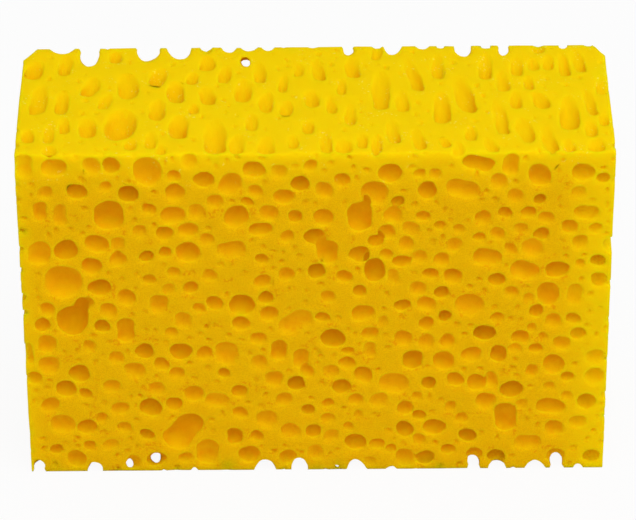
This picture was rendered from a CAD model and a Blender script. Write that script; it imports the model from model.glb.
import math
import random

import bpy
from mathutils import Matrix, Vector, noise
from mathutils.bvhtree import BVHTree
from mathutils.kdtree import KDTree


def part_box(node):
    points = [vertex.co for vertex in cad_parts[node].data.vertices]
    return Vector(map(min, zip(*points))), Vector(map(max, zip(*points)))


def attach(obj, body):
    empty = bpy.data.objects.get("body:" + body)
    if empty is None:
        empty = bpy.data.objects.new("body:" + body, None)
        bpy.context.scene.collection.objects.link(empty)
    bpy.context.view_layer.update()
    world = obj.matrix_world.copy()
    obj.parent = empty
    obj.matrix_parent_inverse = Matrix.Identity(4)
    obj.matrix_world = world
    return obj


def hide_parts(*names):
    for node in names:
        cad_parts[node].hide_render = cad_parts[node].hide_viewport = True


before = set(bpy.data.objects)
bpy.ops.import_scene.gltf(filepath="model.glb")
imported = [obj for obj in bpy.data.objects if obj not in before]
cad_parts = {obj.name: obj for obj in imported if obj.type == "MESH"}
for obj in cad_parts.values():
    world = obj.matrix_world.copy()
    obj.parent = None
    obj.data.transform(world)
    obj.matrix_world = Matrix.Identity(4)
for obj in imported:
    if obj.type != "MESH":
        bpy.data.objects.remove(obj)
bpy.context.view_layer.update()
low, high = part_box("sponge")
size = high - low
middle = (low + high) / 2
mm = 0.001
samePoint = 0.001 * mm      # corners closer than this are one
onFace = 0.01 * mm          # and a point this close to a face lies in it


def selectOnly(*objects):
    bpy.ops.object.select_all(action="DESELECT")
    for obj in objects:
        obj.select_set(True)
    bpy.context.view_layer.objects.active = objects[0]


def applyModifier(obj, kind, **values):
    selectOnly(obj)
    modifier = obj.modifiers.new(kind.lower(), kind)
    for name, value in values.items():
        setattr(modifier, name, value)
    bpy.ops.object.modifier_apply(modifier=modifier.name)


def triangleCount(obj):
    return sum(len(face.vertices) - 2 for face in obj.data.polygons)


# The foam block: the frame's block with its wide pores, which gets fine pores between
# them, soft rims and an uneven cut skin.
foam = {
    "name": "foamBlock",
    "seed": 5,
    "throws": 9000,           # fine pores tried, over all six faces
    "widest": 3.4 * mm,       # the widest and narrowest fine pore
    "widestMarked": 1.4 * mm, # the widest on the front and top, where the frame has most
    "narrowest": 1.0 * mm,
    "narrowing": 2,           # power by which pores get narrower, so that most are narrow
    "wall": 0.7 * mm,         # thinnest wall between two openings
    "slimness": 0.75,         # pores on the narrow faces are this much slimmer
    "stretch": (1.3, 2.4),    # and this much longer along Y
    "largeStretch": 0.15,     # pores on the large faces take this share of it
    "sink": (-0.15, 0.3),     # middle of a pore under the face, for each width
    "roundness": 2,           # subdivisions of a pore's ball
    "voxel": 0.35 * mm,
    "rimPasses": 3,           # smoothing passes that round the rims
    "rimDepth": (0.2 * mm, 0.7 * mm),   # walls this far under a face mark its rims
    "lowerRim": (0.35 * mm, 1.5 * mm),  # how far skin under a front pore sinks, and from where
    "lowerWall": 0.3,         # walls that face up more than this are the lower ones
    "topRim": (0.1 * mm, 1.0 * mm),     # the same around the pores of the top
    "topWall": 0.8,           # floors of top pores face up more than this and don't count
    "sag": 1.2 * mm,          # how deep under the skin the sinking ends
    "rise": 0.25,             # front pores run up into the block by this share of their depth
    "riseEnd": 12 * mm,       # the rise is gone at this depth
    "riseEdge": 8 * mm,       # and fades this near the top and the bottom
    "edge": 0.35 * mm,        # rounding of the outer edges
    "warps": ((9 * mm, 1.0 * mm), (3 * mm, 0.25 * mm)),  # size and strength of unevenness
    "warpSkin": (3 * mm, 0.12),         # it is this weak across a face, and full from this depth
    "triangles": 190000,
}


def copyOfNode(nodeName, pieceName):
    piece = bpy.data.objects.new(pieceName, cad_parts[nodeName].data.copy())
    bpy.context.scene.collection.objects.link(piece)
    selectOnly(piece)
    bpy.ops.object.mode_set(mode="EDIT")
    bpy.ops.mesh.select_all(action="SELECT")
    bpy.ops.mesh.remove_doubles(threshold=samePoint)
    bpy.ops.object.mode_set(mode="OBJECT")
    return piece


def treeOf(places):
    tree = KDTree(len(places))
    for i, co in enumerate(places):
        tree.insert(co, i)
    tree.balance()
    return tree


def levelOf(axis, side):
    return high[axis] if side > 0 else low[axis]


# Places on the faces where fine pores go: off every rim, on the skin, clear of the other
# fine pores. Thrown from wide to narrow.
def finePlaces(block):
    rng = random.Random(foam["seed"])
    faces = [(axis, side) for axis in range(3) for side in (-1, 1)]
    areas = [size[(axis + 1) % 3] * size[(axis + 2) % 3] for axis, side in faces]
    points = [v.co for v in block.data.vertices]
    skin = BVHTree.FromPolygons(points, [p.vertices for p in block.data.polygons])
    rims = {}
    for axis, side in faces:
        level = levelOf(axis, side)
        rims[axis, side] = treeOf([co for co in points if abs(co[axis] - level) < onFace])
    cell = 2 * foam["widest"] * foam["stretch"][1]
    steps = (-1, 0, 1)
    taken = {}
    places = []
    for k in range(foam["throws"]):
        share = (1 - k / foam["throws"]) ** foam["narrowing"]
        radius = (foam["narrowest"] + (foam["widest"] - foam["narrowest"]) * share) / 2
        axis, side = rng.choices(faces, areas)[0]
        spot = Vector(low[i] + rng.random() * size[i] for i in range(3))
        spot[axis] = levelOf(axis, side)
        stretch, sink = rng.uniform(*foam["stretch"]), rng.uniform(*foam["sink"])
        turn = rng.random() * math.tau
        if (axis, side) in ((1, -1), (2, 1)):
            radius = min(radius, foam["widestMarked"] / 2)
        if axis == 1:
            stretch = 1 + foam["largeStretch"] * stretch
        else:
            radius *= foam["slimness"]
        reach = radius * stretch
        if rims[axis, side].find(spot)[2] < reach + foam["wall"]:
            continue
        if skin.find_nearest(spot)[3] > onFace:
            continue
        x, y, z = (int(c // cell) for c in spot)
        around = [(x + i, y + j, z + m) for i in steps for j in steps for m in steps]
        near = [other for key in around for other in taken.get(key, ())]
        if any((spot - other).length < reach + r + foam["wall"] for other, r in near):
            continue
        taken.setdefault((x, y, z), []).append((spot, reach))
        centre = spot.copy()
        centre[axis] -= side * sink * 2 * radius
        places.append((centre, radius, stretch, axis, turn))
    return places


# One little ball, copied to every place, turned about its face and drawn out
def finePores(places):
    bpy.ops.object.select_all(action="DESELECT")
    bpy.ops.mesh.primitive_ico_sphere_add(subdivisions=foam["roundness"], radius=1)
    first = bpy.context.object
    balls = []
    for centre, radius, stretch, axis, turn in places:
        ball = bpy.data.objects.new("pore", first.data.copy())
        bpy.context.scene.collection.objects.link(ball)
        if axis == 1:
            shape = Matrix.Rotation(turn, 4, "Y") @ Matrix.Diagonal((stretch, 1, 1, 1))
        else:
            shape = Matrix.Diagonal((1, stretch, 1, 1))
        ball.data.transform(Matrix.Translation(centre) @ shape @ Matrix.Scale(radius, 4))
        balls.append(ball)
    bpy.data.objects.remove(first)
    selectOnly(*balls)
    bpy.ops.object.join()
    return bpy.context.object


# The skin sinks towards the rims of pores. picks says which pore walls count, by their
# normal.
def sinkRims(block, axis, side, picks, values):
    sunk, reach = values
    level = levelOf(axis, side)
    first, last = foam["rimDepth"]
    vertices = block.data.vertices
    tree = treeOf([
        v.co.copy() for v in vertices
        if first < side * (level - v.co[axis]) < last and picks(v.normal)])
    for v in vertices:
        under = side * (level - v.co[axis])
        if under > foam["sag"]:
            continue
        away = tree.find(v.co)[2]
        if away < reach:
            fade = 1 - max(0, under) / foam["sag"]
            v.co[axis] -= side * sunk * (1 - away / reach) ** 2 * fade


# Pulls a point about, but hardly out of the face that it lies in
def warpPoint(co):
    full, least = foam["warpSkin"]
    shift = Vector()
    for cell, strength in foam["warps"]:
        shift += noise.noise_vector(co / cell) * strength
    for i in range(3):
        under = size[i] / 2 - abs(co[i] - middle[i])
        co[i] += shift[i] * max(least, min(1, under / full))


def roundEdge(co, i, j):
    edge = foam["edge"]
    a = edge - size[i] / 2 + abs(co[i] - middle[i])
    b = edge - size[j] / 2 + abs(co[j] - middle[j])
    away = math.hypot(a, b)
    if a > 0 and b > 0 and away > edge:
        co[i] -= math.copysign(a * (1 - edge / away), co[i] - middle[i])
        co[j] -= math.copysign(b * (1 - edge / away), co[j] - middle[j])


# Front pores run up into the block, all are uneven, the outer edges are rounded, and the
# block stands flat.
def shapeSkin(block):
    noise.seed_set(foam["seed"])    # left alone, its vectors differ from run to run
    edge = foam["riseEdge"]
    for v in block.data.vertices:
        co = v.co
        deep = co.y - low.y
        if deep < foam["riseEnd"]:
            inner = min(1, (high.z - co.z) / edge, (co.z - low.z) / edge)
            co.z += foam["rise"] * deep * (1 - deep / foam["riseEnd"]) * max(0, inner)
        warpPoint(co)
        for i, j in ((0, 1), (0, 2), (1, 2)):
            roundEdge(co, i, j)
        co.z = max(co.z, low.z)


# What the cuts left loose goes
def dropCrumbs(block):
    selectOnly(block)
    bpy.ops.object.mode_set(mode="EDIT")
    bpy.ops.mesh.select_all(action="SELECT")
    bpy.ops.mesh.separate(type="LOOSE")
    bpy.ops.object.mode_set(mode="OBJECT")
    parts = sorted(bpy.context.selected_objects, key=lambda part: len(part.data.vertices))
    block = parts.pop()
    print("crumbs", len(parts))
    for crumb in parts:
        bpy.data.objects.remove(crumb)
    block.name = foam["name"]
    return block


def makeFoam():
    block = copyOfNode("sponge", foam["name"])
    print("block", triangleCount(block), "triangles")
    places = finePlaces(block)
    pores = finePores(places)
    print("fine pores", len(places))
    applyModifier(block, "BOOLEAN", operation="DIFFERENCE", solver="MANIFOLD", object=pores)
    bpy.data.objects.remove(pores)
    print("cut", triangleCount(block), "triangles")
    applyModifier(block, "REMESH", mode="VOXEL", voxel_size=foam["voxel"])
    applyModifier(block, "SMOOTH", factor=0.5, iterations=foam["rimPasses"])
    print("remeshed", triangleCount(block), "triangles")
    sinkRims(block, 1, -1, lambda normal: normal.z > foam["lowerWall"], foam["lowerRim"])
    sinkRims(block, 2, 1, lambda normal: normal.z < foam["topWall"], foam["topRim"])
    shapeSkin(block)
    print("rims worn and skin shaped")
    applyModifier(block, "DECIMATE", ratio=foam["triangles"] / triangleCount(block))
    bpy.ops.object.shade_smooth()
    block = dropCrumbs(block)
    print("foam", triangleCount(block), "triangles")
    return block


# Materials

foamLook = {
    "skin": (0.885, 0.53, 0.001, 1),    # cut skin that stands upright
    "deep": (0.94, 0.47, 0.002, 1),     # pore walls that face down
    "fresh": (0.93, 0.62, 0.001, 1),    # skin that faces up
    "dull": (0.70, 0.355, 0.001, 1),    # grain
    "torn": (0.78, 0.31, 0.001, 1),     # torn specks
    "pale": (0.98, 0.80, 0.12, 1),      # glints of thin walls
    "deepAt": 2.0 * mm,                 # the deep colour is full at this depth
    "deepRange": (0.1, 1),              # shares of that depth where it starts and ends
    "deepShare": 0.75,                  # how much of it depth alone brings
    "inside": (0, 0.5),                 # shares of that depth from skin to inside of a pore
    "faceDown": (0.1, -0.7),            # walls from upright to facing down
    "faceUp": (0.3, 1),                 # skin from upright to level
    "freshUp": 0.75,                    # how fresh level skin is
    "freshTop": (15 * mm, 0.65),        # how far the fresh colour reaches down, and how much
    "freshTopPore": (8 * mm, 0.65),     # the same inside pores
    "freshRight": (16 * mm, 1.0),
    "freshLeft": (5 * mm, 0.6),
    "grain": 0.32 * mm,                 # the noises, each with the part of it that shows
    "grainRange": (0.42, 0.62),
    "grainShare": 0.47,
    "mottle": 1.3 * mm,
    "mottleRange": (0.4, 0.7),
    "mottleShare": 0.12,
    "speck": 0.7 * mm,
    "speckRange": (0.5, 0.6),
    "speckShare": 0.8,
    "glintRange": (0.38, 0.3),
    "group": 5 * mm,                    # specks and glints come in groups this far apart
    "speckGroup": (0.57, 0.65),
    "glintGroup": (0.44, 0.4),
    "cell": 0.45 * mm,
    "cellHeight": 0.10 * mm,
    "cellStrength": 0.6,
    "roughness": 0.9,
    "shine": 0.03,
    "glow": 0.9,                        # share of light that spreads inside the foam
    "glowColour": (1, 0.75, 0.25),
    "glowReach": 3 * mm,
}


def addNode(tree, kind, **values):
    node = tree.nodes.new(kind)
    for name, value in values.items():
        setattr(node, name, value)
    return node


# How deep a point lies under the nearest face of the block, from 0 at the skin to 1
def depthGroup():
    group = bpy.data.node_groups.new("poreDepth", "ShaderNodeTree")
    group.interface.new_socket("Position", in_out="INPUT", socket_type="NodeSocketVector")
    full = group.interface.new_socket("Full Depth", in_out="INPUT", socket_type="NodeSocketFloat")
    full.default_value = foamLook["deepAt"]
    group.interface.new_socket("Depth", in_out="OUTPUT", socket_type="NodeSocketFloat")
    start = addNode(group, "NodeGroupInput")
    end = addNode(group, "NodeGroupOutput")
    split = addNode(group, "ShaderNodeSeparateXYZ")
    group.links.new(start.outputs["Position"], split.inputs[0])
    nearest = None
    for axis in range(3):
        centred = addNode(group, "ShaderNodeMath", operation="SUBTRACT")
        group.links.new(split.outputs[axis], centred.inputs[0])
        centred.inputs[1].default_value = (low[axis] + high[axis]) / 2
        out = addNode(group, "ShaderNodeMath", operation="ABSOLUTE")
        group.links.new(centred.outputs[0], out.inputs[0])
        under = addNode(group, "ShaderNodeMath", operation="SUBTRACT")
        under.inputs[0].default_value = size[axis] / 2
        group.links.new(out.outputs[0], under.inputs[1])
        if nearest is None:
            nearest = under
        else:
            least = addNode(group, "ShaderNodeMath", operation="MINIMUM")
            group.links.new(nearest.outputs[0], least.inputs[0])
            group.links.new(under.outputs[0], least.inputs[1])
            nearest = least
    share = addNode(group, "ShaderNodeMath", operation="DIVIDE", use_clamp=True)
    group.links.new(nearest.outputs[0], share.inputs[0])
    group.links.new(start.outputs["Full Depth"], share.inputs[1])
    group.links.new(share.outputs[0], end.inputs["Depth"])
    return group


# A value from 0 to top as the input goes through the range
def rise(tree, output, through, top=1):
    ramp = addNode(tree, "ShaderNodeMapRange", interpolation_type="SMOOTHSTEP")
    ramp.inputs["From Min"].default_value = through[0]
    ramp.inputs["From Max"].default_value = through[1]
    ramp.inputs["To Max"].default_value = top
    tree.links.new(output, ramp.inputs["Value"])
    return ramp.outputs["Result"]


def noiseValue(tree, place, noiseSize):
    texture = addNode(tree, "ShaderNodeTexNoise")
    texture.inputs["Scale"].default_value = 1 / noiseSize
    texture.inputs["Detail"].default_value = 2
    tree.links.new(place, texture.inputs["Vector"])
    return texture.outputs["Fac"]


def times(tree, first, second):
    product = addNode(tree, "ShaderNodeMath", operation="MULTIPLY")
    tree.links.new(first, product.inputs[0])
    tree.links.new(second, product.inputs[1])
    return product.outputs[0]


def blend(tree, first, second, share):
    mix = addNode(tree, "ShaderNodeMix", data_type="RGBA")
    for name, value in (("A", first), ("B", second)):
        if isinstance(value, tuple):
            mix.inputs[name].default_value = value
        else:
            tree.links.new(value, mix.inputs[name])
    tree.links.new(share, mix.inputs["Factor"])
    return mix.outputs["Result"]


def foamMaterial():
    look = foamLook
    material = bpy.data.materials.new("foamYellow")
    material.use_nodes = True
    tree = material.node_tree
    shader = tree.nodes["Principled BSDF"]
    link = tree.links.new
    coordinates = addNode(tree, "ShaderNodeTexCoord")
    place = coordinates.outputs["Object"]
    split = addNode(tree, "ShaderNodeSeparateXYZ")
    link(place, split.inputs[0])
    turned = addNode(tree, "ShaderNodeSeparateXYZ")
    link(coordinates.outputs["Normal"], turned.inputs[0])
    faceUp = turned.outputs["Z"]
    group = addNode(tree, "ShaderNodeGroup", node_tree=depthGroup())
    link(place, group.inputs["Position"])
    depth = group.outputs["Depth"]

    # fresher towards a face, as far as its setting says
    def nearFace(name, axis, face, way):
        reach, most = look[name]
        return rise(tree, split.outputs[axis], (face + way * reach, face), most)

    # grain, slow patches, and torn specks in groups
    grain = rise(tree, noiseValue(tree, place, look["grain"]), look["grainRange"], look["grainShare"])
    colour = blend(tree, look["skin"], look["dull"], grain)
    patches = noiseValue(tree, place, look["mottle"])
    mottle = rise(tree, patches, look["mottleRange"], look["mottleShare"])
    colour = blend(tree, colour, look["dull"], mottle)
    grouping = noiseValue(tree, place, look["group"])
    fleck = noiseValue(tree, place, look["speck"])
    speck = rise(tree, fleck, look["speckRange"], look["speckShare"])
    speck = times(tree, rise(tree, grouping, look["speckGroup"]), speck)
    colour = blend(tree, colour, look["torn"], speck)
    byTop = nearFace("freshTop", "Z", high.z, -1)
    colour = blend(tree, colour, look["fresh"], byTop)

    # deep orange in the pores, most where they face down
    inPore = rise(tree, depth, look["deepRange"], look["deepShare"])
    colour = blend(tree, colour, look["deep"], inPore)
    under = times(tree, rise(tree, faceUp, look["faceDown"]), rise(tree, depth, look["inside"]))
    colour = blend(tree, colour, look["deep"], under)

    # fresher where it faces up and by both ends, with pale glints at the top
    freshUp = rise(tree, faceUp, look["faceUp"], look["freshUp"])
    colour = blend(tree, colour, look["fresh"], freshUp)
    for share in (
            nearFace("freshRight", "X", high.x, -1), nearFace("freshLeft", "X", low.x, 1),
            nearFace("freshTopPore", "Z", high.z, -1)):
        colour = blend(tree, colour, look["fresh"], share)
    glint = times(
        tree, rise(tree, fleck, look["glintRange"]), rise(tree, grouping, look["glintGroup"]))
    colour = blend(tree, colour, look["pale"], times(tree, byTop, glint))
    link(colour, shader.inputs["Base Color"])

    # fine cells of the foam itself
    cells = addNode(tree, "ShaderNodeTexVoronoi")
    cells.inputs["Scale"].default_value = 1 / look["cell"]
    link(place, cells.inputs["Vector"])
    bump = addNode(tree, "ShaderNodeBump")
    bump.inputs["Strength"].default_value = look["cellStrength"]
    bump.inputs["Distance"].default_value = look["cellHeight"]
    link(cells.outputs["Distance"], bump.inputs["Height"])
    link(bump.outputs["Normal"], shader.inputs["Normal"])
    shader.inputs["Roughness"].default_value = look["roughness"]
    shader.inputs["Specular IOR Level"].default_value = look["shine"]
    shader.inputs["Subsurface Weight"].default_value = look["glow"]
    shader.inputs["Subsurface Radius"].default_value = look["glowColour"]
    shader.inputs["Subsurface Scale"].default_value = look["glowReach"]
    return material


# Room, light and camera

room = {
    "floor": 6.0,
    "floorColour": (0.75, 0.75, 0.75, 1),
    "floorWhite": 0.93,       # share of plain white that the camera sees
    "sky": 0.5,
    "keyPower": 9.8,
    "keySize": 1.2,
    "keyPlace": (0.4, -0.5, 1.22),
    "fillPower": 4.4,
    "fillSize": 1.6,
    "fillPlace": (-0.2, -1.5, 0.9),
}

view = {
    "elevation": 35.41,       # degrees above level
    "distance": 1.0527,
    "aimHeight": 0.6766,      # share of the block's height
    "lens": 235.3,
    "lean": 0.4215,           # degrees, right side higher
    "shiftX": 0.0036,
    "clipEnd": 20,
}


# Seen by the camera, the floor is nearly white all over. It keeps its shadow.
def floorMaterial():
    material = bpy.data.materials.new("floorWhite")
    material.use_nodes = True
    tree = material.node_tree
    shader = tree.nodes["Principled BSDF"]
    shader.inputs["Base Color"].default_value = room["floorColour"]
    shader.inputs["Roughness"].default_value = 1
    shader.inputs["Specular IOR Level"].default_value = 0
    rays = addNode(tree, "ShaderNodeLightPath")
    seen = rays.outputs["Is Camera Ray"]
    for kind in ("Is Glossy Ray", "Is Transmission Ray"):
        also = addNode(tree, "ShaderNodeMath", operation="MAXIMUM")
        tree.links.new(seen, also.inputs[0])
        tree.links.new(rays.outputs[kind], also.inputs[1])
        seen = also.outputs[0]
    white = addNode(tree, "ShaderNodeMath", operation="MULTIPLY")
    white.inputs[1].default_value = room["floorWhite"]
    tree.links.new(seen, white.inputs[0])
    glow = addNode(tree, "ShaderNodeEmission")
    mix = addNode(tree, "ShaderNodeMixShader")
    tree.links.new(white.outputs[0], mix.inputs[0])
    tree.links.new(shader.outputs[0], mix.inputs[1])
    tree.links.new(glow.outputs[0], mix.inputs[2])
    tree.links.new(mix.outputs[0], tree.nodes["Material Output"].inputs["Surface"])
    return material


def makeRoom():
    bpy.ops.object.select_all(action="DESELECT")
    bpy.ops.mesh.primitive_plane_add(size=room["floor"], location=(0, 0, low.z))
    floor = bpy.context.object
    floor.name = "floor"
    bpy.ops.object.transform_apply(location=True, rotation=False, scale=True)
    floor.data.materials.append(floorMaterial())

    world = bpy.data.worlds.new("whiteRoom")
    bpy.context.scene.world = world
    world.use_nodes = True
    tree = world.node_tree
    sky = tree.nodes["Background"]
    sky.inputs["Color"].default_value = (1, 1, 1, 1)
    rays = addNode(tree, "ShaderNodeLightPath")
    level = addNode(tree, "ShaderNodeMix", data_type="FLOAT")
    level.inputs["A"].default_value = room["sky"]
    level.inputs["B"].default_value = 1
    tree.links.new(rays.outputs["Is Camera Ray"], level.inputs["Factor"])
    tree.links.new(level.outputs["Result"], sky.inputs["Strength"])

    for name in ("key", "fill"):
        bpy.ops.object.light_add(type="AREA", location=room[name + "Place"])
        lamp = bpy.context.object
        lamp.name = name
        lamp.data.energy = room[name + "Power"]
        lamp.data.size = room[name + "Size"]
        aim = Vector((0, 0, size.z / 2)) - lamp.location
        lamp.rotation_euler = aim.to_track_quat("-Z", "Y").to_euler()


def makeCamera():
    bpy.ops.object.camera_add()
    camera = bpy.context.object
    camera.data.lens = view["lens"]
    camera.data.shift_x = view["shiftX"]
    camera.data.clip_end = view["clipEnd"]
    up = math.radians(view["elevation"])
    aim = Vector((0, low.y, low.z + view["aimHeight"] * size.z))
    back = Vector((0, -math.cos(up), math.sin(up)))
    camera.matrix_world = (
        Matrix.Translation(aim + back * view["distance"])
        @ Matrix.Rotation(math.radians(90 - view["elevation"]), 4, "X")
        @ Matrix.Rotation(math.radians(-view["lean"]), 4, "Z"))
    bpy.context.scene.camera = camera


makeCamera()
makeRoom()
print("camera and room made")
block = makeFoam()
block.data.materials.clear()
block.data.materials.append(foamMaterial())
print("foam material made")
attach(block, "root")
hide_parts("sponge")

bpy.context.scene.view_settings.view_transform = "Standard"
